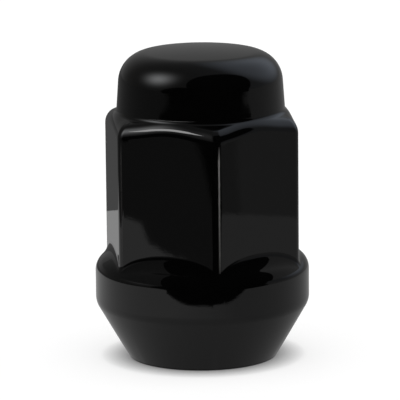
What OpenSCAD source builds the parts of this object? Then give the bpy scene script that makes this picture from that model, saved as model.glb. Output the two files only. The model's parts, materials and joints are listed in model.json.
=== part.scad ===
// Closed-end wheel lug nut with a bulged conical seat, forged and turned as one piece.
// It stands on its seat end. The origin is the centre of that end, and +Z runs up the thread axis to the cap.

/* [Overall] */
// Height from the seat end to the crown of the cap
nut_h = 36; // [33:0.1:42]

/* [Hex] */
// Width across the flats, where the wheel wrench grips
hex_af = 20.9; // [18.6:0.1:22.2]
// Depth trimmed off each sharp corner, which leaves a narrow land
corner_trim = 0.15; // [0.02:0.01:0.4]
// Radius that rolls the hex over into its top shoulder
shoulder_r = 2; // [1.2:0.1:2.4]
// Slope of the top shoulder, in degrees from level
shoulder_slope = 21; // [15:1:30]

/* [Cap] */
// Height of the cap above the shoulder
cap_h = 7.1; // [6:0.1:9]
// Distance that the foot of the cap is set in from the flats
cap_inset = 0.7; // [0.4:0.05:1.2]
// Inward lean of the cap's side, in degrees
cap_draft = 4; // [1:0.5:6]
// Radius in the corner between shoulder and cap, where the shoulder leaves room for it
cap_foot_r = 0.6; // [0.4:0.1:1.4]
// Radius of the cap's upper edge
dome_edge_r = 3.5; // [2:0.1:4.5]
// Radius of the shallow crown on top
crown_r = 73; // [40:1:120]

/* [Seat] */
// Included angle of the conical seat
seat_angle = 60; // [50:1:80]
// Width of the flat ring round the thread's mouth
end_land = 1.35; // [0.8:0.05:2]
// Radius on the outer edge of that ring
end_edge_r = 0.3; // [0.1:0.05:0.5]
// Distance that the bulge stands out past the hex corners
bulge_ledge = 0.49; // [0.3:0.01:2]
// Height of the bulge between its two corners, before rounding
band_h = 4.85; // [4:0.05:6]
// Radius between the conical seat and the bulge
seat_edge_r = 2.2; // [0.5:0.1:4]
// Slope of the bulge's shoulder up to the hex, in degrees from level
bulge_slope = 24; // [18:1:32]
// Radius that rolls the bulge over into its shoulder
bulge_edge_r = 1.9; // [1:0.1:2.2]
// Radius of the hollow that lifts that shoulder up the flats, where the slope leaves room for it
flare_r = 1.9; // [0.5:0.1:2.2]

/* [Thread] */
// Nominal diameter of the wheel stud
thread_d = 14; // [12:0.5:14.5]
// Pitch of the stud's thread
thread_pitch = 1.5; // [1:0.25:2]
// Radial room that the mouth chamfer adds round the stud
mouth_lead = 0.25; // [0.1:0.05:0.5]
// Included angle of the mouth chamfer
mouth_angle = 90; // [60:5:120]
// Included angle of the drill point at the blind end
drill_angle = 118; // [90:1:140]
// Metal left between the drill point and the crown
end_wall = 4; // [2.5:0.1:6]

/* [Smoothness] */
// Degrees of turn from one point of an arc to the next
arc_step = 6; // [3:1:10]

/* [Hidden] */
$fn = 120;

// A cut reaches this far past the face that it opens
overcut = 1;

// The hollow above the bulge ends this far inside the flats
flare_sink = 0.25;

// A metric thread is this many pitches narrower across its crests than across the stud
crest_loss = 1.0825;

// Thread
bore_r = (thread_d - crest_loss * thread_pitch) / 2;
mouth_r = thread_d / 2 + mouth_lead;
mouth_h = (mouth_r - bore_r) / tan(mouth_angle / 2);
drill_tip_h = bore_r / tan(drill_angle / 2);
bore_depth = nut_h - end_wall - drill_tip_h;

// Hex
hex_r = hex_af / 2 / cos(30);
corner_r = hex_r - corner_trim;

// Seat and bulge
end_r = mouth_r + end_land;
bulge_r = corner_r + bulge_ledge;
cone_top_z = (bulge_r - end_r) / tan(seat_angle / 2);
band_top_z = cone_top_z + band_h;
flare_foot_r = hex_af / 2 - flare_sink;
flare_foot_z = band_top_z + (bulge_r - flare_foot_r) * tan(bulge_slope);
// The roll and the hollow share the slope between them
bulge_bend = tan((90 - bulge_slope) / 2);
flare_room = (bulge_r - flare_foot_r) / cos(bulge_slope) - bulge_edge_r * bulge_bend;
flare_fit_r = min(flare_r, flare_room / bulge_bend);

// Cap
cap_r = hex_af / 2 - cap_inset;
cap_foot_z = nut_h - cap_h;
shoulder_z = cap_foot_z - (corner_r - cap_r) * tan(shoulder_slope);
foot_room = (corner_r - cap_r) / cos(shoulder_slope) - shoulder_r / tan((90 + shoulder_slope) / 2);
cap_foot_fit_r = min(cap_foot_r, foot_room * tan((90 + shoulder_slope + cap_draft) / 2));
crown_centre_z = nut_h - crown_r;
// The dome edge touches the cap's side and the crown, which fixes how far round the crown they meet
edge_reach = (cap_r + (cap_foot_z - crown_centre_z) * tan(cap_draft)) * cos(cap_draft) - dome_edge_r;
crown_turn = asin(edge_reach / (crown_r - dome_edge_r)) - cap_draft;
dome_edge_centre = [0, crown_centre_z] + (crown_r - dome_edge_r) * [sin(crown_turn), cos(crown_turn)];

// Points along an arc, with angles in degrees from the profile's outward axis towards +Z
function arc(centre, radius, from, to) =
    let (steps = max(1, ceil(abs(to - from) / arc_step)))
    [for (i = [0:steps])
        let (turn = from + (to - from) * i / steps)
        centre + radius * [cos(turn), sin(turn)]];

// Unit vector along a direction
function along(v) = v / norm(v);

// Angle turned from one direction to another, the short way round
function turn_between(u, v) = atan2(u[0] * v[1] - u[1] * v[0], u * v);

// Arc that rounds the corner of a profile between the points before and after it
function rounded(before, corner, after, radius) =
    let (
        u = along(before - corner),
        v = along(after - corner),
        half = abs(turn_between(u, v)) / 2,
        centre = corner + along(u + v) * radius / sin(half),
        start = corner + u * radius / tan(half) - centre,
        end = corner + v * radius / tan(half) - centre,
        from = atan2(start[1], start[0])
    )
    arc(centre, radius, from, from + turn_between(start, end));

// Corners of the half profile under the hex, from the seat end up
end_corner = [end_r, 0];
seat_corner = [bulge_r, cone_top_z];
bulge_corner = [bulge_r, band_top_z];
flare_foot = [flare_foot_r, flare_foot_z];
flare_top = [flare_foot_r, flare_foot_z + flare_r];

// Corners of the half profile over the hex, from the band up
hex_foot = [corner_r, cone_top_z];
hex_top = [corner_r, shoulder_z];
cap_foot = [cap_r, cap_foot_z];
cap_edge = dome_edge_centre + dome_edge_r * [cos(cap_draft), sin(cap_draft)];

// Half profile of the seat cone, the bulge and the shoulder that sweeps up into the flats
seat_profile = concat(
    [[0, 0]],
    rounded([0, 0], end_corner, seat_corner, end_edge_r),
    rounded(end_corner, seat_corner, bulge_corner, seat_edge_r),
    rounded(seat_corner, bulge_corner, flare_foot, bulge_edge_r),
    rounded(bulge_corner, flare_foot, flare_top, flare_fit_r),
    [flare_top, [0, flare_top[1]]]
);

// Half profile of the hex corners, the top shoulder and the domed cap
cap_profile = concat(
    [[0, cone_top_z], hex_foot],
    rounded(hex_foot, hex_top, cap_foot, shoulder_r),
    rounded(hex_top, cap_foot, cap_edge, cap_foot_fit_r),
    arc(dome_edge_centre, dome_edge_r, cap_draft, 90 - crown_turn),
    arc([0, crown_centre_z], crown_r, 90 - crown_turn, 90)
);

// Turned form of the seat end
module seat_form() {
    rotate_extrude() polygon(seat_profile);
}

// Hex whose corners run out over the turned shoulder and leave the round cap above it
module wrench_form() {
    intersection() {
        rotate_extrude() polygon(cap_profile);
        translate([0, 0, cone_top_z]) cylinder(h = nut_h, r = hex_r, $fn = 6);
    }
}

// Blind tapped hole at its crest diameter, with a chamfered mouth and a drill point
module stud_bore() {
    mouth_flare = overcut * tan(mouth_angle / 2);
    translate([0, 0, -overcut]) cylinder(h = overcut + bore_depth, r = bore_r);
    translate([0, 0, -overcut]) cylinder(h = overcut + mouth_h, r1 = mouth_r + mouth_flare, r2 = bore_r);
    translate([0, 0, bore_depth]) cylinder(h = drill_tip_h, r1 = bore_r, r2 = 0);
}

// The whole nut, under its gloss black coat
module lug_nut() {
    color([0.04, 0.04, 0.045])
    difference() {
        union() {
            seat_form();
            wrench_form();
        }
        stud_bore();
    }
}

lug_nut();
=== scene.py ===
# %% [markdown]
# # A gloss black wheel lug nut
# A lug nut clamps a road wheel onto its stud. This one is a single forging of steel: a hex for the wrench,
# a closed domed cap above it, and below it a bulge whose conical seat centres the wheel.
# The engineering solid comes first and is the frame for everything else. It fixes the size and the place, so
# its box is kept here.

# %% Load the solid
import json
import math

import bmesh
import bpy
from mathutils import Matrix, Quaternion, Vector


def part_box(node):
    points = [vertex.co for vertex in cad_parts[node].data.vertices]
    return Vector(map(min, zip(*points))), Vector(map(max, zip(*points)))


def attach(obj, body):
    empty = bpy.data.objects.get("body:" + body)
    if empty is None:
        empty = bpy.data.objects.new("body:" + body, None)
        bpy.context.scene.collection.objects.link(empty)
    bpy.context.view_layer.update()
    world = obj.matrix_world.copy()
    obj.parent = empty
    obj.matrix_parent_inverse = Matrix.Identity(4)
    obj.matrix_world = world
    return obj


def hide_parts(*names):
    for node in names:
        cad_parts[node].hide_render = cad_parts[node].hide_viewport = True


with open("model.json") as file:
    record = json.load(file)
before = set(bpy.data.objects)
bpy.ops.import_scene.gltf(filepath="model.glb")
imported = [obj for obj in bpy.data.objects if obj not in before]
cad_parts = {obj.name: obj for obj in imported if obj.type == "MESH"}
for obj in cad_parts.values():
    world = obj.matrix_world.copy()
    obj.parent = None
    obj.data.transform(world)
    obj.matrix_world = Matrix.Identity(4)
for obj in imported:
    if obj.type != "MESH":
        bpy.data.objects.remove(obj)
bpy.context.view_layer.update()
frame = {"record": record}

# %% [markdown]
# ## Sizes
# A machinist thinks of this nut in millimetres, so the sizes below are in millimetres and a single factor
# turns them into Blender's metres when the mesh is made. The height, the width of the bulge and the thread
# are read from the solid and its record. The others are the drawing sizes that the solid was made from,
# and each stands at the step that first needs it.

# %% Sizes from the solid
MM = 0.001
nut_low, nut_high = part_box("lug_nut")
nut_height = nut_high.z / MM
bulge_radius = nut_high.x / MM
stud_thread = next(m for m in frame["record"]["mounts"] if m["name"] == "stud_thread")
crest_radius = stud_thread["dims"]["r_mm"]
print(f"nut {nut_height:.2f} mm tall and {2 * bulge_radius:.2f} mm wide")
print(f"thread crest radius {crest_radius:.3f} mm")

# %% [markdown]
# ## One section for every angle
# The outside could be a lathe profile cut by six planes with a Boolean, and then bevelled. On a mirror-black
# part that leaves ragged reflections, because the bevel follows the uneven edges that the Boolean makes.
# Here the nut is sliced like a cake instead. Each slice is a half outline in the plane of one angle,
# with the same number of points in every slice, so the slices join into clean strips of quads that run along
# every edge. Two small helpers draw the round stretches of an outline.

# %% Helpers for outlines
def arc(centre, radius, start, end, steps):
    """Points along an arc, both ends included. Angles in degrees from outward towards up."""
    turns = [math.radians(start + (end - start) * i / steps) for i in range(steps + 1)]
    return [Vector((centre[0] + radius * math.cos(t), centre[1] + radius * math.sin(t))) for t in turns]


def rounded(before, corner, after, radius, steps):
    """Arc that rounds the corner between two straight stretches."""
    corner = Vector(corner)
    to_before = (Vector(before) - corner).normalized()
    to_after = (Vector(after) - corner).normalized()
    half = to_before.angle(to_after) / 2
    centre = corner + (to_before + to_after).normalized() * radius / math.sin(half)
    start = corner + to_before * radius / math.tan(half) - centre
    end = corner + to_after * radius / math.tan(half) - centre
    first = math.atan2(start.y, start.x)
    sweep = math.atan2(start.cross(end), start.dot(end))
    return arc(centre, radius, math.degrees(first), math.degrees(first + sweep), steps)


# %% [markdown]
# ## The hex
# The six flats meet in corners that the forging die and the coat leave slightly round. Seen from above, the
# hex is a circle of changing radius: a flat's distance from the axis grows towards the corner, and a small
# arc takes over there. Slices crowd together at the corners, where the surface turns fastest.

# %% Radius of the hex at an angle
CORNERS = 6
SECTOR = 360 / CORNERS
HALF_SECTOR = SECTOR / 2
HEX_ACROSS_FLATS = 20.9
HEX_EDGE_RADIUS = 1.0
apothem = HEX_ACROSS_FLATS / 2
edge_arc_distance = (apothem - HEX_EDGE_RADIUS) / math.cos(math.radians(HALF_SECTOR))
flat_half_width = (apothem - HEX_EDGE_RADIUS) * math.tan(math.radians(HALF_SECTOR))
edge_arc_turn = HALF_SECTOR - math.degrees(math.atan(flat_half_width / apothem))


def turn_past_corner(turn):
    """Degrees that an angle lies past the nearest corner. The first corner lies on +X."""
    return (turn + HALF_SECTOR) % SECTOR - HALF_SECTOR


def hex_radius(turn):
    """Distance from the axis to the side of the hex."""
    off_corner = abs(turn_past_corner(turn))
    if off_corner > edge_arc_turn:
        return apothem / math.cos(math.radians(HALF_SECTOR - off_corner))
    away = math.radians(off_corner)
    across = edge_arc_distance * math.sin(away)
    return edge_arc_distance * math.cos(away) + math.sqrt(HEX_EDGE_RADIUS ** 2 - across ** 2)


EDGE_SLICES = 9
FLAT_SLICES = 18
FLAT_SLICE_GROWTH = 1.5
half_sector = [edge_arc_turn * i / EDGE_SLICES for i in range(EDGE_SLICES)]
half_sector += [edge_arc_turn + (HALF_SECTOR - edge_arc_turn) * (i / FLAT_SLICES) ** FLAT_SLICE_GROWTH
                for i in range(FLAT_SLICES + 1)]
sector = [-turn for turn in reversed(half_sector[1:-1])] + half_sector
slice_turns = [SECTOR * corner + turn for corner in range(CORNERS) for turn in sector]
print(f"{len(slice_turns)} slices, hex radius {hex_radius(HALF_SECTOR):.2f} to {hex_radius(0):.2f} mm")

# %% [markdown]
# ## The seat end
# From the flat ring round the thread's mouth the outline climbs the conical seat and rounds over into the
# bulge. This stretch is the same at every angle, because it was turned on a lathe. The bulge then rolls over
# into a shoulder that runs in under the hex. That last curve is kept apart, because every slice leaves it
# at another place.

# %% Outline of the seat end and curve of the bulge's shoulder
STUD_DIAMETER = 14.0
MOUTH_LEAD = 0.25
END_RADIUS = 8.6
END_EDGE_RADIUS = 0.3
SEAT_HALF_ANGLE = 30.0
SEAT_EDGE_RADIUS = 2.2
BAND_HEIGHT = 4.85
BULGE_SLOPE = 24.0
BULGE_EDGE_RADIUS = 1.9
END_EDGE_STEPS = 5
SEAT_EDGE_STEPS = 10
ARC_STEPS = 60
mouth_radius = STUD_DIAMETER / 2 + MOUTH_LEAD
cone_top = (bulge_radius - END_RADIUS) / math.tan(math.radians(SEAT_HALF_ANGLE))
band_top = cone_top + BAND_HEIGHT
end_corner = (END_RADIUS, 0.0)
seat_corner = (bulge_radius, cone_top)
bulge_corner = (bulge_radius, band_top)
bulge_peak = (0.0, band_top + bulge_radius * math.tan(math.radians(BULGE_SLOPE)))

seat_outline = [Vector((mouth_radius, 0.0))]
seat_outline += rounded((0.0, 0.0), end_corner, seat_corner, END_EDGE_RADIUS, END_EDGE_STEPS)
seat_outline += rounded(end_corner, seat_corner, bulge_corner, SEAT_EDGE_RADIUS, SEAT_EDGE_STEPS)
bulge_curve = rounded(seat_corner, bulge_corner, bulge_peak, BULGE_EDGE_RADIUS, ARC_STEPS)
bulge_curve.append(Vector(bulge_peak))
print(f"seat cone {cone_top:.2f} mm high, bulge rolls over from {bulge_curve[0].y:.2f} mm")

# %% [markdown]
# ## The cap
# Above the hex the shoulder slopes in, turns up in a small hollow and climbs the cap's side, which leans in
# a little so that the forging could leave its die. A generous edge then rolls into a shallow crown.
# The edge has to touch both the leaning side and the crown, and that fixes where its centre lies.
# The straight side gets a point close to each of its ends, which keeps the smooth shading of the curves
# from leaking into it. The shoulder's curve is kept apart for the slices too.

# %% Curve of the top shoulder and outline of the cap
CORNER_TRIM = 0.15
SHOULDER_RADIUS = 2.0
SHOULDER_SLOPE = 21.0
CAP_HEIGHT = 7.1
CAP_INSET = 0.7
CAP_DRAFT = 4.0
CAP_FOOT_RADIUS = 0.6
DOME_EDGE_RADIUS = 3.5
CROWN_RADIUS = 73.0
DOME_EDGE_STEPS = 24
CROWN_STEPS = 12
CAP_SIDE_PLACES = (0.04, 0.5, 0.96)
corner_radius = apothem / math.cos(math.radians(HALF_SECTOR)) - CORNER_TRIM
cap_radius = apothem - CAP_INSET
cap_foot = (cap_radius, nut_height - CAP_HEIGHT)
shoulder_rise = (corner_radius - cap_radius) * math.tan(math.radians(SHOULDER_SLOPE))
shoulder_corner = (corner_radius, cap_foot[1] - shoulder_rise)

draft = math.radians(CAP_DRAFT)
crown_centre = (0.0, nut_height - CROWN_RADIUS)
side_at_centre = cap_radius + (cap_foot[1] - crown_centre[1]) * math.tan(draft)
side_reach = side_at_centre * math.cos(draft) - DOME_EDGE_RADIUS
edge_orbit = CROWN_RADIUS - DOME_EDGE_RADIUS
crown_turn = math.asin(side_reach / edge_orbit) - draft
dome_edge_centre = (edge_orbit * math.sin(crown_turn), crown_centre[1] + edge_orbit * math.cos(crown_turn))
crown_start = 90 - math.degrees(crown_turn)

cap_outline = arc(dome_edge_centre, DOME_EDGE_RADIUS, CAP_DRAFT, crown_start, DOME_EDGE_STEPS)
shoulder_curve = rounded((corner_radius, 0.0), shoulder_corner, cap_foot, SHOULDER_RADIUS, ARC_STEPS)
shoulder_curve += rounded(shoulder_corner, cap_foot, cap_outline[0], CAP_FOOT_RADIUS, ARC_STEPS)
cap_side = [shoulder_curve[-1].lerp(cap_outline[0], place) for place in CAP_SIDE_PLACES]
cap_outline = cap_side + cap_outline + arc(crown_centre, CROWN_RADIUS, crown_start, 90, CROWN_STEPS)[1:]
print(f"cap {2 * cap_radius:.1f} mm wide at its foot")

# %% [markdown]
# ## Where the flats run out
# This is the part that makes the nut look forged. Each flat dives into the bulge below in a curve, and
# rolls over into the shoulder above in another. In a slice the flat is a straight line at its own radius.
# A ball is rolled along the bulge's curve on the outside until it also touches the flat: its edge is the
# hollow between the two. A second ball, rolled along the shoulder's curve on the inside, gives the flat's
# upper edge.

# %% Helpers for a ball that rolls along a curve
def beside(curve, distance):
    """Line at this distance outside a curve that climbs, or inside it where the distance is negative."""
    line = []
    for i, point in enumerate(curve):
        along = curve[min(i + 1, len(curve) - 1)] - curve[max(i - 1, 0)]
        line.append(point + Vector((along.y, -along.x)).normalized() * distance)
    return line


def at(curve, place):
    """Point of a curve at a place that may lie between two of its points."""
    i = min(int(place), len(curve) - 2)
    return curve[i].lerp(curve[i + 1], place - i)


def place_at_radius(line, radius):
    """Place where a line that runs inwards reaches a radius."""
    i = next(i for i in range(len(line) - 1) if line[i + 1].x <= radius)
    return i + max(0.0, (line[i].x - radius) / (line[i].x - line[i + 1].x))


def stretch_of(curve, start, end, steps):
    """Evenly placed points of a curve from one place to another."""
    return [at(curve, start + (end - start) * i / steps) for i in range(steps + 1)]


# %% Outline between the bulge and the cap
HOLLOW_RADIUS = 2.2
ROLL_RADIUS = 1.9
BULGE_STEPS = 14
HOLLOW_STEPS = 12
FLAT_STEPS = 8
ROLL_STEPS = 12
SHOULDER_STEPS = 30
hollow_line = beside(bulge_curve, HOLLOW_RADIUS)
roll_line = beside(shoulder_curve, -ROLL_RADIUS)


def side_outline(turn):
    """Outline of one slice from the bulge's roll up to the foot of the cap."""
    flat = hex_radius(turn)
    leave = place_at_radius(hollow_line, flat + HOLLOW_RADIUS)
    hollow_centre = at(hollow_line, leave)
    touch = at(bulge_curve, leave) - hollow_centre
    hollow_start = math.degrees(math.atan2(touch.y, touch.x)) % 360
    join = place_at_radius(roll_line, flat - ROLL_RADIUS)
    roll_centre = at(roll_line, join)
    touch = at(shoulder_curve, join) - roll_centre
    roll_end = math.degrees(math.atan2(touch.y, touch.x))

    points = stretch_of(bulge_curve, 0, leave, BULGE_STEPS)
    points += arc(hollow_centre, HOLLOW_RADIUS, hollow_start, 180, HOLLOW_STEPS)[1:]
    climb = roll_centre.y - hollow_centre.y
    points += [Vector((flat, hollow_centre.y + climb * i / FLAT_STEPS)) for i in range(1, FLAT_STEPS)]
    points += arc(roll_centre, ROLL_RADIUS, 0, roll_end, ROLL_STEPS)
    points += stretch_of(shoulder_curve, join, len(shoulder_curve) - 1, SHOULDER_STEPS)[1:]
    return points


outer_rows = [seat_outline + side_outline(turn) + cap_outline for turn in slice_turns]
print(f"{len(outer_rows[0])} points in each slice of the outside")

# %% [markdown]
# ## The thread
# The stud screws in from below, so the hole carries a right-hand metric thread. A screw modifier could
# sweep a tooth along a helix, but its ends would hang loose in the hole. Here the rows of the grid climb
# with the helix themselves: going once round the hole lifts a row by one pitch, where it meets the next
# row. Rows that would leave the hole are held at its mouth or at its blind end, so the grid closes neatly
# at both.

# %% Shape of the threaded hole
THREAD_PITCH = 1.5
DRILL_HALF_ANGLE = 59.0
END_WALL = 4.0
TAP_LEAD_PITCHES = 2.0
PLAIN_END = 1.2
DRILL_STEPS = 4
drill_tip = crest_radius / math.tan(math.radians(DRILL_HALF_ANGLE))
hole_depth = nut_height - END_WALL - drill_tip
groove_depth = STUD_DIAMETER / 2 - crest_radius
# Parts of one pitch where the crest, the flanks and the root of the groove lie
CREST_END = 2 / 16
ROOT_START = 7 / 16
FLANK_MIDDLE = (CREST_END + ROOT_START) / 2
PITCH_STEPS = (0, CREST_END, FLANK_MIDDLE, ROOT_START, 0.5, 1 - ROOT_START, 1 - FLANK_MIDDLE, 1 - CREST_END)


def groove_share(part):
    """Depth of the groove at one part of a pitch, from 0 on the crest to 1 at the root."""
    from_crest = min(part, 1 - part)
    return min(1.0, max(0.0, (from_crest - CREST_END) / (ROOT_START - CREST_END)))


def hole_point(turn, lap, part):
    """Radius and height of the hole's wall on one row, held between the mouth and the blind end."""
    height = min(max((lap + part + turn / 360) * THREAD_PITCH, 0.0), hole_depth)
    fade = min(1.0, max(0.0, (hole_depth - PLAIN_END - height) / (TAP_LEAD_PITCHES * THREAD_PITCH)))
    wall = crest_radius + groove_depth * groove_share(part) * fade
    return max(wall, mouth_radius - height), height


laps = range(-1, math.ceil(hole_depth / THREAD_PITCH) + 1)
hole_rows = [[hole_point(turn, lap, part) for lap in laps for part in PITCH_STEPS] for turn in slice_turns]
drill_outline = [(crest_radius * (1 - i / DRILL_STEPS), hole_depth + drill_tip * i / DRILL_STEPS)
                 for i in range(DRILL_STEPS + 1)]
print(f"thread of {hole_depth / THREAD_PITCH:.1f} turns, grooves {groove_depth:.2f} mm deep")

# %% [markdown]
# ## From slices to a mesh
# The outside, the hole and the drill point are three grids of quads. They share their border rings, so
# welding points that coincide closes them into a single skin. A closed skin can tell inside from outside,
# which lets Blender turn every face outwards by itself.
# Each point also stores a share of dull grey steel along the hex corners. It is partly wear, coat that the
# wrench has rubbed off on the side of each corner that it bears on, and partly a painted highlight, the
# bright line that light draws along a corner. So the line lies a little off the middle and is brighter
# towards the top. Each corner has its own share, and the largest is on the corner nearest the camera.

# %% Wear and painted highlight along the hex corners
CORNER_LINE_HALF_WIDTH = 0.06
CORNER_LINE_EDGE = 0.06
CORNER_LINE_ASIDE = 0.27
CORNER_LINE_END = 0.3
CORNER_LINE_AT_FOOT = 0.3
CORNER_LINE_START = 0.6
# One share of wear and painted highlight for each corner, from the one on +X anticlockwise
CORNER_LINE_SHARES = (0.3, 0.5, 0.2, 0.4, 0.1, 1.0)
corner_line_low = band_top + CORNER_LINE_START
corner_line_high = shoulder_curve[0].y


def corner_wear_and_highlight(turn, radius, height):
    """Share of bare grey steel at a point of the outside: rubbed-off coat and a painted highlight."""
    aside = math.radians(turn_past_corner(turn)) * radius - CORNER_LINE_ASIDE
    across = (CORNER_LINE_HALF_WIDTH + CORNER_LINE_EDGE - abs(aside)) / CORNER_LINE_EDGE
    along = min(height - corner_line_low, corner_line_high - height) / CORNER_LINE_END
    # The share grows towards the top, where the painted highlight is brighter
    climb = (height - corner_line_low) / (corner_line_high - corner_line_low)
    most = CORNER_LINE_SHARES[round(turn / SECTOR) % CORNERS] * (CORNER_LINE_AT_FOOT + (1 - CORNER_LINE_AT_FOOT) * climb)
    return most * max(0.0, min(1.0, across, along))


# %% Build the grids
COAT_INDEX = 0
THREAD_INDEX = 1
WELD_DISTANCE = 1e-9
skin = bmesh.new()
# Share of wear and painted highlight, stored at each point of the outside
wear_and_highlight_layer = skin.verts.layers.float.new("corner_wear_and_highlight")


def add_grid(slices, material_index, lift_per_round=0):
    """Adds a grid of quads. After one round a row joins the row that is lift_per_round further up."""
    columns = []
    for turn, outline in zip(slice_turns, slices):
        away = Vector((math.cos(math.radians(turn)), math.sin(math.radians(turn)), 0))
        column = [skin.verts.new((away * r + Vector((0, 0, z))) * MM) for r, z in outline]
        columns.append(column)
        # Points of the outside store their share of wear and painted highlight
        if material_index == COAT_INDEX:
            for point, (radius, height) in zip(column, outline):
                point[wear_and_highlight_layer] = corner_wear_and_highlight(turn, radius, height)
    for i, column in enumerate(columns):
        following = columns[(i + 1) % len(columns)]
        lift = lift_per_round if i + 1 == len(columns) else 0
        for j in range(len(column) - 1 - lift):
            quad = (column[j], following[j + lift], following[j + lift + 1], column[j + 1])
            skin.faces.new(quad).material_index = material_index


add_grid(outer_rows, COAT_INDEX)
add_grid(hole_rows, THREAD_INDEX, len(PITCH_STEPS))
add_grid([drill_outline] * len(slice_turns), THREAD_INDEX)
bmesh.ops.remove_doubles(skin, verts=skin.verts, dist=WELD_DISTANCE)
bmesh.ops.recalc_face_normals(skin, faces=skin.faces)
open_edges = [edge for edge in skin.edges if not edge.is_manifold]
print(f"{len(skin.faces)} faces, {len(open_edges)} open edges")
print(f"volume {skin.calc_volume() / MM ** 3:.0f} mm3")

# %% Make the nut
SHARP_ANGLE = 40.0
nut_mesh = bpy.data.meshes.new("lug_nut_forging")
skin.to_mesh(nut_mesh)
skin.free()
nut_mesh.shade_smooth()
nut_mesh.set_sharp_from_angle(angle=math.radians(SHARP_ANGLE))
nut = bpy.data.objects.new("lug_nut_forging", nut_mesh)
bpy.context.scene.collection.objects.link(nut)
even_shading = nut.modifiers.new("even_shading", "WEIGHTED_NORMAL")
even_shading.keep_sharp = True
print("made", nut.name)

# %% [markdown]
# ## The black coat
# The coat is a thin gloss black film baked onto the steel. It is nearly black all over, so its look
# comes from reflections, and what tells it from plastic is how those reflections break up: a slow ripple
# like orange peel, and a fine grain that frays the edge of every reflection.
# Both are bumps from noise at their real scale, and a third noise lets the gloss vary a little.
# Where the share stored in the mesh is high, the film gives way to dull grey steel, with gaps from one more
# noise. That grey is partly wear and partly a painted highlight along the hex corners.

# %% Helpers for shader nodes
WHITE = (1, 1, 1, 1)
BLACK = (0, 0, 0, 1)
# Most of a noise's values lie between these two
NOISE_MIDDLE = (0.3, 0.7)
# A Mix node has a pair of inputs and an output for each kind of value that it can blend
NUMBER_INPUTS = (2, 3)
NUMBER_OUTPUT = 0
COLOUR_INPUTS = (6, 7)
COLOUR_OUTPUT = 2


def add_node(tree, kind, **settings):
    """Adds a shader node and sets its properties, or its inputs where the name is an input's."""
    made = tree.nodes.new(kind)
    for name, value in settings.items():
        if hasattr(made, name):
            setattr(made, name, value)
        else:
            made.inputs[name.replace("_", " ")].default_value = value
    return made


def noise_of_size(tree, size, detail):
    """Noise whose blotches are about this many metres across, fixed to the object."""
    place = add_node(tree, "ShaderNodeTexCoord")
    noise = add_node(tree, "ShaderNodeTexNoise", Scale=1 / size, Detail=detail)
    tree.links.new(place.outputs["Object"], noise.inputs["Vector"])
    return noise.outputs["Fac"]


def bumped(tree, height, distance, below=None):
    """Bump of this height in metres, laid over another bump where one is given."""
    bump = add_node(tree, "ShaderNodeBump", Distance=distance)
    tree.links.new(height, bump.inputs["Height"])
    if below:
        tree.links.new(below, bump.inputs["Normal"])
    return bump.outputs["Normal"]


def blend_range(tree, value, low, high):
    """Stretches a noise's middle part over a range of values."""
    stretch = add_node(tree, "ShaderNodeMapRange", From_Min=NOISE_MIDDLE[0], From_Max=NOISE_MIDDLE[1],
                       To_Min=low, To_Max=high)
    tree.links.new(value, stretch.inputs["Value"])
    return stretch.outputs["Result"]


def product(tree, a, b):
    """Product of two values."""
    times = add_node(tree, "ShaderNodeMath", operation="MULTIPLY")
    tree.links.new(a, times.inputs[0])
    tree.links.new(b, times.inputs[1])
    return times.outputs["Value"]


def colour_blend(tree, share, first, second):
    """Blend of two colours. Each is a fixed colour or the output of a node."""
    blend = add_node(tree, "ShaderNodeMix", data_type="RGBA")
    tree.links.new(share, blend.inputs["Factor"])
    for place, colour in zip(COLOUR_INPUTS, (first, second)):
        if isinstance(colour, tuple):
            blend.inputs[place].default_value = colour
        else:
            tree.links.new(colour, blend.inputs[place])
    return blend.outputs[COLOUR_OUTPUT]


# %% Gloss black coat
PEEL_SIZE = 0.9 * MM
PEEL_HEIGHT = 0.0008 * MM
GRAIN_SIZE = 0.16 * MM
GRAIN_HEIGHT = 0.0006 * MM
GLOSS_PATCH_SIZE = 3.0 * MM
COAT_ROUGHNESS = (0.015, 0.035)
COAT_INDEX_OF_REFRACTION = 1.45
COAT_DARK = (0.0006, 0.0006, 0.0006, 1)
COAT_PALE = (0.0014, 0.0014, 0.0014, 1)
# Bare steel grey, light enough to paint the corners' highlight as well as show wear
WORN_STEEL_AND_HIGHLIGHT = (0.42, 0.41, 0.4, 1)
BARE_STEEL_ROUGHNESS = 0.5
CORNER_LINE_GAP_SIZE = 0.5 * MM
CORNER_LINE_GAP_LEVELS = (0.75, 1.0)


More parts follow.
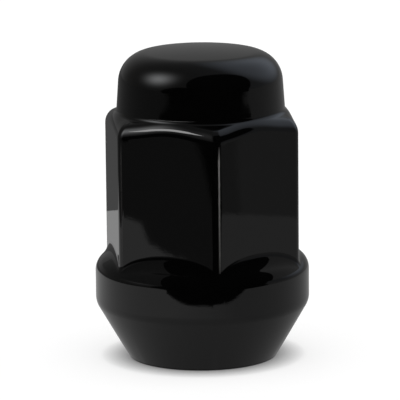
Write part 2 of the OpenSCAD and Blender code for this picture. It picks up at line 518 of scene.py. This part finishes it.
def gloss_black_coat():
    """Near-black film with a fine ripple, worn through along the corners, where the bare grey also paints a
    highlight.
    """
    material = bpy.data.materials.new("gloss_black_coat")
    material.use_nodes = True
    tree = material.node_tree
    shader = tree.nodes["Principled BSDF"]
    shader.inputs["IOR"].default_value = COAT_INDEX_OF_REFRACTION
    patches = noise_of_size(tree, GLOSS_PATCH_SIZE, detail=3)
    film = colour_blend(tree, patches, COAT_DARK, COAT_PALE)
    # Stored share of wear and painted highlight, broken by gaps from noise
    stored = add_node(tree, "ShaderNodeAttribute", attribute_name="corner_wear_and_highlight")
    gaps = blend_range(tree, noise_of_size(tree, CORNER_LINE_GAP_SIZE, detail=3), *CORNER_LINE_GAP_LEVELS)
    wear_and_highlight = product(tree, stored.outputs["Fac"], gaps)
    tree.links.new(colour_blend(tree, wear_and_highlight, film, WORN_STEEL_AND_HIGHLIGHT), shader.inputs["Base Color"])
    gloss = blend_range(tree, patches, *COAT_ROUGHNESS)
    dull = add_node(tree, "ShaderNodeMix", data_type="FLOAT")
    tree.links.new(wear_and_highlight, dull.inputs["Factor"])
    tree.links.new(gloss, dull.inputs[NUMBER_INPUTS[0]])
    dull.inputs[NUMBER_INPUTS[1]].default_value = BARE_STEEL_ROUGHNESS
    tree.links.new(dull.outputs[NUMBER_OUTPUT], shader.inputs["Roughness"])
    peel = bumped(tree, noise_of_size(tree, PEEL_SIZE, detail=1), PEEL_HEIGHT)
    grain = bumped(tree, noise_of_size(tree, GRAIN_SIZE, detail=2), GRAIN_HEIGHT, below=peel)
    tree.links.new(grain, shader.inputs["Normal"])
    return material


# %% [markdown]
# ## The thread's finish
# Inside the hole the coat would spoil the fit, so the thread is left as dark oiled steel. It is a metal
# with fine tool marks, duller than the coat.

# %% Oiled steel of the thread
STEEL_COLOUR = (0.16, 0.155, 0.15, 1)
STEEL_DARK = (0.06, 0.058, 0.055, 1)
STEEL_PATCH_SIZE = 1.2 * MM
STEEL_ROUGHNESS = (0.28, 0.42)
TAP_MARK_SIZE = 0.08 * MM
TAP_MARK_HEIGHT = 0.001 * MM


def oiled_thread_steel():
    """Dark bare metal with fine marks."""
    material = bpy.data.materials.new("oiled_thread_steel")
    material.use_nodes = True
    tree = material.node_tree
    shader = tree.nodes["Principled BSDF"]
    shader.inputs["Metallic"].default_value = 1.0
    patches = noise_of_size(tree, STEEL_PATCH_SIZE, detail=4)
    tree.links.new(colour_blend(tree, patches, STEEL_DARK, STEEL_COLOUR), shader.inputs["Base Color"])
    tree.links.new(blend_range(tree, patches, *STEEL_ROUGHNESS), shader.inputs["Roughness"])
    marks = bumped(tree, noise_of_size(tree, TAP_MARK_SIZE, detail=2), TAP_MARK_HEIGHT)
    tree.links.new(marks, shader.inputs["Normal"])
    return material


nut_mesh.materials.append(gloss_black_coat())
nut_mesh.materials.append(oiled_thread_steel())
print("finishes:", [material.name for material in nut_mesh.materials])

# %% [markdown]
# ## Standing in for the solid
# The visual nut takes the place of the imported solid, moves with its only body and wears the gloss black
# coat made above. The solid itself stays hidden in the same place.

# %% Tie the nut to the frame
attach(nut, "root")
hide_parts("lug_nut")

# %% [markdown]
# ## Camera
# The view is that of a long lens a little above the nut, with one hex corner just right of the middle.
# The lens and the distance were found from the outline of a real nut: they set how fast the far side
# shrinks. The stage that follows is laid out as the camera sees it, so a helper turns a place to its
# right, towards it and above the floor into Blender's coordinates.

# %% Camera
VIEW_AZIMUTH = 21.6
VIEW_ELEVATION = 11.58
VIEW_DISTANCE = 468.5 * MM
VIEW_ROLL = 0.572
PIXELS_PER_MM = 8.627
IMAGE_WIDTH = 400
SENSOR_WIDTH = 36.0
NEAREST_SEEN = 10 * MM
# Millimetres to the right and up in the picture from a point on the axis, and that point's height
AIM = (-0.188, -0.165, 18.42)

azimuth = math.radians(VIEW_AZIMUTH)
elevation = math.radians(VIEW_ELEVATION)
view_right = Vector((math.cos(azimuth), math.sin(azimuth), 0))
view_front = Vector((math.sin(azimuth), -math.cos(azimuth), 0))
view_back = view_front * math.cos(elevation) + Vector((0, 0, math.sin(elevation)))
view_up = view_back.cross(view_right)
aim_point = (view_right * AIM[0] + view_up * AIM[1] + Vector((0, 0, AIM[2]))) * MM


def stage_point(right, front, height):
    """Point in metres, from millimetres to the camera's right, towards it and above the floor."""
    return (view_right * right + view_front * front) * MM + Vector((0, 0, nut_low.z + height * MM))


camera_data = bpy.data.cameras.new("photo_camera")
camera_data.sensor_width = SENSOR_WIDTH
camera_data.lens = PIXELS_PER_MM * VIEW_DISTANCE / MM * SENSOR_WIDTH / IMAGE_WIDTH
camera_data.clip_start = NEAREST_SEEN
camera = bpy.data.objects.new("photo_camera", camera_data)
camera.location = aim_point + view_back * VIEW_DISTANCE
camera.rotation_mode = "QUATERNION"
roll = Quaternion((0, 0, 1), -math.radians(VIEW_ROLL))
camera.rotation_quaternion = (-view_back).to_track_quat("-Z", "Y") @ roll
bpy.context.scene.collection.objects.link(camera)
bpy.context.scene.camera = camera
print(f"lens {camera_data.lens:.0f} mm")

# %% [markdown]
# ## Floor
# The nut stands on a plain white sheet. The sheet's own light, which the camera and mirror-like surfaces
# see, lifts it to white. Light from a surface has no shadow of its own, so the lift is weighed by how open
# the place is within a few millimetres. That leaves the tight dark shadow where the seat meets the sheet.

# %% White floor
FLOOR_HALF_WIDTH = 3000
FLOOR_COLOUR = (0.32, 0.32, 0.32, 1)
FLOOR_LIFT = 0.73
CONTACT_REACH = 3 * MM


def white_sheet():
    """Matt white whose own light shows to the camera and to mirrors only."""
    material = bpy.data.materials.new("white_sheet")
    material.use_nodes = True
    tree = material.node_tree
    shader = tree.nodes["Principled BSDF"]
    shader.inputs["Base Color"].default_value = FLOOR_COLOUR
    shader.inputs["Roughness"].default_value = 1.0
    shader.inputs["Specular IOR Level"].default_value = 0.0
    shader.inputs["Emission Color"].default_value = WHITE
    path = add_node(tree, "ShaderNodeLightPath")
    seen = path.outputs["Is Camera Ray"]
    for ray in ("Is Glossy Ray", "Is Transmission Ray"):
        either = add_node(tree, "ShaderNodeMath", operation="MAXIMUM")
        tree.links.new(seen, either.inputs[0])
        tree.links.new(path.outputs[ray], either.inputs[1])
        seen = either.outputs["Value"]
    lift = add_node(tree, "ShaderNodeMath", operation="MULTIPLY")
    lift.inputs[1].default_value = FLOOR_LIFT
    tree.links.new(seen, lift.inputs[0])
    openness = add_node(tree, "ShaderNodeAmbientOcclusion", Distance=CONTACT_REACH)
    own_light = product(tree, lift.outputs["Value"], openness.outputs["AO"])
    tree.links.new(own_light, shader.inputs["Emission Strength"])
    return material


def flat_sheet(name, corners, height, material):
    """A flat face through corners given to the camera's right and towards it."""
    mesh = bpy.data.meshes.new(name)
    points = [stage_point(right, front, height) for right, front in corners]
    mesh.from_pydata(points, [], [list(range(len(points)))])
    mesh.materials.append(material)
    sheet = bpy.data.objects.new(name, mesh)
    bpy.context.scene.collection.objects.link(sheet)
    return sheet


def square(half_width):
    """Corners of a square round the nut's axis."""
    return [(x * half_width, y * half_width) for x, y in ((-1, -1), (1, -1), (1, 1), (-1, 1))]


flat_sheet("white_floor", square(FLOOR_HALF_WIDTH), 0, white_sheet())
print("floor at height", nut_low.z)

# %% [markdown]
# ## What the coat reflects
# A black mirror shows its surroundings, so the studio matters as much as the lamps. Low down the nut mirrors
# the table round it: a paper that ends near the nut, the dimmer table to both sides, and a dark gap in front
# where the camera stands. Cards just over the floor make these, and only mirror-like surfaces see them.
# Straight cards would look drawn with a ruler in the coat. The paper's left end is torn in a curve, and the
# far part of the gap has a notch on each side, which puts a waist in the dark patch on the cap.

# %% Cards over the floor, in millimetres
CARD_REACH = 6000
CARD_SPACING = 0.1
PAPER = ((90, -78.5), (90, 32), (0, 48), (-31, 45), (-45, 56), (-50, 57), (-54.5, 59), (-59, 63),
         (-63.5, 67), (-68, 68.5), (-74, 69), (-87, 45), (-87, -78.5))
DIM_STRIP = ((90, 29), (170, 48), (170, 57), (90, 32))
NEAR_GAP = ((-31, 45), (0, 48), (90, 32), (378, 122), (-105, 122), (-36, 54))
FAR_GAP = ((-105, 122), (378, 122), (394, 133), (418, 141), (449, 190), (480, 315), (498, 205),
           (620, 212), (12500, 4500), (-6300, 4400), (-570, 395), (-492, 440), (-440, 505),
           (-442, 405), (-433, 319), (-403, 234))
PAPER_LEVELS = (0.58, 0.37)
PAPER_LEAN = 108
TABLE_LEVELS = (0.112, 0.225)
TABLE_LEAN = 80
STRIP_LEVELS = (0.165, 0.165)
GAP_LEVELS = (0.012, 0.012)
LEVEL_BLEND = (-32 * MM, 10 * MM)
FOOT_SHADE = 0.75
FOOT_SHADE_REACH = (9 * MM, 32 * MM)


def heading(side, height=0):
    """Direction at an angle from the camera's side of the nut to its right, and an angle above the floor."""
    side, height = math.radians(side), math.radians(height)
    level = view_front * math.cos(side) + view_right * math.sin(side)
    return level * math.cos(height) + Vector((0, 0, math.sin(height)))


def glowing_card(name, levels, lean=90, foot_shade=1.0, from_below=False):
    """Card whose glow goes from one level to another towards a side, and is less at the nut's foot."""
    material = bpy.data.materials.new(name)
    material.use_nodes = True
    tree = material.node_tree
    shader = tree.nodes["Principled BSDF"]
    shader.inputs["Base Color"].default_value = BLACK
    shader.inputs["Specular IOR Level"].default_value = 0.0
    shader.inputs["Emission Color"].default_value = WHITE
    place = add_node(tree, "ShaderNodeTexCoord").outputs["Object"]
    aside = add_node(tree, "ShaderNodeVectorMath", operation="DOT_PRODUCT")
    tree.links.new(place, aside.inputs[0])
    aside.inputs[1].default_value = heading(lean)
    level = add_node(tree, "ShaderNodeMapRange", From_Min=LEVEL_BLEND[0], From_Max=LEVEL_BLEND[1],
                     To_Min=levels[0], To_Max=levels[1])
    tree.links.new(aside.outputs["Value"], level.inputs["Value"])
    away = add_node(tree, "ShaderNodeVectorMath", operation="LENGTH")
    tree.links.new(place, away.inputs[0])
    shade = add_node(tree, "ShaderNodeMapRange", From_Min=FOOT_SHADE_REACH[0], From_Max=FOOT_SHADE_REACH[1],
                     To_Min=foot_shade, To_Max=1)
    tree.links.new(away.outputs["Value"], shade.inputs["Value"])
    glow = product(tree, level.outputs["Result"], shade.outputs["Result"])
    tree.links.new(glow, shader.inputs["Emission Strength"])
    if from_below:
        clear = add_node(tree, "ShaderNodeBsdfTransparent")
        either = add_node(tree, "ShaderNodeMixShader")
        tree.links.new(add_node(tree, "ShaderNodeNewGeometry").outputs["Backfacing"], either.inputs[0])
        tree.links.new(shader.outputs["BSDF"], either.inputs[1])
        tree.links.new(clear.outputs["BSDF"], either.inputs[2])
        tree.links.new(either.outputs["Shader"], tree.nodes["Material Output"].inputs["Surface"])
    return material


def mirror_card(name, corners, height, material):
    """A card that only mirror-like surfaces see."""
    card = flat_sheet(name, corners, height, material)
    card.visible_camera = False
    card.visible_diffuse = False
    card.visible_shadow = False


cards = (
    ("table_card", square(CARD_REACH), TABLE_LEVELS, TABLE_LEAN),
    ("paper_card", PAPER, PAPER_LEVELS, PAPER_LEAN),
    ("dim_strip_card", DIM_STRIP, STRIP_LEVELS, TABLE_LEAN),
    ("near_gap_card", NEAR_GAP, GAP_LEVELS, TABLE_LEAN),
    ("far_gap_card", FAR_GAP, GAP_LEVELS, TABLE_LEAN),
)
for layer, (name, corners, levels, lean) in enumerate(cards, start=1):
    mirror_card(name, corners, CARD_SPACING * layer, glowing_card(name, levels, lean, FOOT_SHADE))
    print(f"{name}: level {levels[0]} to {levels[1]}")

# %% [markdown]
# ## Flags
# In the room's light the bulge would shine as much as the cap. A studio keeps light off one part with
# flags, dim cards that stand in the way. Here a ring of flags lies close round the hex below its top, black
# in front. They show on their underside only, so they shade the bulge and leave the flats and the cap
# alone. A bright card of the same kind lies over the left flat's upper edge and draws the glint along it.

# %% Flags and bright card, in millimetres
FLAG_HEIGHT = 24
FLAG_CLEARANCE = 0.12
FLAG_REACH = 70
FLAG_STEPS = 10
# Each flag's first and last angle from the camera's side to its right, and its level
FLAGS = (
    ("front_flag", -40, 74, 0.01),
    ("right_flag", 74, 140, 0.25),
    ("back_flag", 140, 220, 0.18),
    ("left_flag", 220, 320, 0.12),
)
EDGE_CARD = ((-10.2, 8.7), (-7.0, 9.4), (-2.3, 11.3), (-0.8, 12.5), (-3.7, 12.0), (-8.3, 10.2))
EDGE_CARD_HEIGHT = 29.4
EDGE_CARD_LEVEL = 8.0


def flag_corners(first, last):
    """Corners of a flag between two angles from the camera's side, open round the hex."""
    sides = [math.radians(first + (last - first) * i / FLAG_STEPS) for i in range(FLAG_STEPS + 1)]
    inner = [hex_radius(math.degrees(side) + VIEW_AZIMUTH - 90) + FLAG_CLEARANCE for side in sides]
    near = [(math.sin(side) * reach, math.cos(side) * reach) for side, reach in zip(sides, inner)]
    far = [(math.sin(side) * FLAG_REACH, math.cos(side) * FLAG_REACH) for side in sides]
    return far[::-1] + near


for name, first, last, level in FLAGS:
    flag_material = glowing_card(name, (level, level), from_below=True)
    mirror_card(name, flag_corners(first, last), FLAG_HEIGHT, flag_material)
    print(f"{name}: level {level}")
edge_material = glowing_card("edge_card", (EDGE_CARD_LEVEL, EDGE_CARD_LEVEL), from_below=True)
mirror_card("edge_card", EDGE_CARD, EDGE_CARD_HEIGHT, edge_material)

# %% [markdown]
# ## Room
# Higher up the nut mirrors the room. It is dim, with a soft window on the left, cool daylight at the back
# on the right, and black in front in two rounds, one high on the right and one low on the left. Each part
# is a direction with a soft border, so no picture is needed. Only mirrors need the room, so it is hidden
# from the diffuse floor, which keeps its white.

# %% Dim room
ROOM_LEFT = (0.12, 0.119, 0.117, 1)
ROOM_RIGHT = (0.18, 0.185, 0.195, 1)
ROOM_BACK = (0.2, 0.2, 0.2, 1)
ROOM_FRONT = (0.01, 0.01, 0.01, 1)
# Pairs of edges are the cosines between which a part of the room fades in
SIDE_EDGES = (-0.7, 0.7)
BACK_EDGES = (0.5, 0.95)
DAYLIGHT = (0.62, 0.68, 0.78, 1)
DAYLIGHT_SIDE = 125
DAYLIGHT_HEIGHT = 40
DAYLIGHT_EDGES = (0.72, 0.96)
WINDOW = (3.3, 3.35, 3.4, 1)
WINDOW_SIDE = -71
WINDOW_HEIGHT = 36
WINDOW_SHARPNESS = 24
FRONT_SIDE = 28.5
FRONT_HEIGHT = 21
FRONT_EDGES = (0.686, 0.716)
LOW_FRONT_SIDE = -25
LOW_FRONT_HEIGHT = -20
LOW_FRONT_EDGES = (0.78, 0.805)


def dim_room():
    """World with a colour for each direction, hidden from diffuse surfaces."""
    world = bpy.data.worlds.new("dim_room")
    bpy.context.scene.world = world
    world.use_nodes = True
    world.cycles_visibility.diffuse = False
    tree = world.node_tree
    direction = add_node(tree, "ShaderNodeTexCoord").outputs["Generated"]

    def lean(towards):
        """Cosine of the angle between the direction and another."""
        dot = add_node(tree, "ShaderNodeVectorMath", operation="DOT_PRODUCT")
        tree.links.new(direction, dot.inputs[0])
        dot.inputs[1].default_value = towards
        return dot.outputs["Value"]

    def share(towards, low, high):
        """Share that climbs from 0 at the low cosine to 1 at the high one."""
        step = add_node(tree, "ShaderNodeMapRange", interpolation_type="SMOOTHSTEP",
                        From_Min=low, From_Max=high, To_Min=0, To_Max=1)
        tree.links.new(lean(towards), step.inputs["Value"])
        return step.outputs["Result"]

    def lobe(towards, sharpness):
        """Share that fades evenly to all sides of a direction, with a power of the cosine."""
        fade = add_node(tree, "ShaderNodeMath", operation="POWER", use_clamp=True)
        tree.links.new(lean(towards), fade.inputs[0])
        fade.inputs[1].default_value = sharpness
        return fade.outputs["Value"]

    sides = colour_blend(tree, share(view_right, *SIDE_EDGES), ROOM_LEFT, ROOM_RIGHT)
    walls = colour_blend(tree, share(-view_front, *BACK_EDGES), sides, ROOM_BACK)
    daylight = share(heading(DAYLIGHT_SIDE, DAYLIGHT_HEIGHT), *DAYLIGHT_EDGES)
    lit = colour_blend(tree, daylight, walls, DAYLIGHT)
    front = share(heading(FRONT_SIDE, FRONT_HEIGHT), *FRONT_EDGES)
    low_front = share(heading(LOW_FRONT_SIDE, LOW_FRONT_HEIGHT), *LOW_FRONT_EDGES)
    room = colour_blend(tree, low_front, colour_blend(tree, front, lit, ROOM_FRONT), ROOM_FRONT)
    window = lobe(heading(WINDOW_SIDE, WINDOW_HEIGHT), WINDOW_SHARPNESS)
    view = colour_blend(tree, window, room, WINDOW)
    tree.links.new(view, tree.nodes["Background"].inputs["Color"])


dim_room()
front_spread = math.degrees(math.acos(FRONT_EDGES[0]))
print(f"upper dark round of the room: {front_spread:.0f} degrees to each side")

# %% [markdown]
# ## Lamp
# One broad lamp above lights the sheet. It is wider than it is high above the nut, so the shadow is soft and
# darkest where the seat meets the floor. The coat must not show it as a bright square, so it is hidden
# from mirror-like surfaces.

# %% Lamp
OVERHEAD_LEVEL = 1.75
OVERHEAD_WIDTH = 1500
OVERHEAD_HEIGHT = 720


def overhead_lamp():
    """A square lamp that faces down. Its level is its brightness as a mirror would show it."""
    lamp_data = bpy.data.lights.new("overhead_lamp", "AREA")
    lamp_data.size = OVERHEAD_WIDTH * MM
    lamp_data.energy = OVERHEAD_LEVEL * math.pi * lamp_data.size ** 2
    lamp = bpy.data.objects.new("overhead_lamp", lamp_data)
    lamp.location = stage_point(0, 0, OVERHEAD_HEIGHT)
    bpy.context.scene.collection.objects.link(lamp)
    lamp.visible_camera = False
    lamp.visible_glossy = False
    print(f"overhead lamp: {lamp_data.energy:.2f} W")


overhead_lamp()

# %% [markdown]
# ## Last setting
# The finished nut has to fill the same box as the solid. The view transform is set to Standard, so colours
# render as they are given.

# %% Finish
bpy.context.scene.view_settings.view_transform = "Standard"
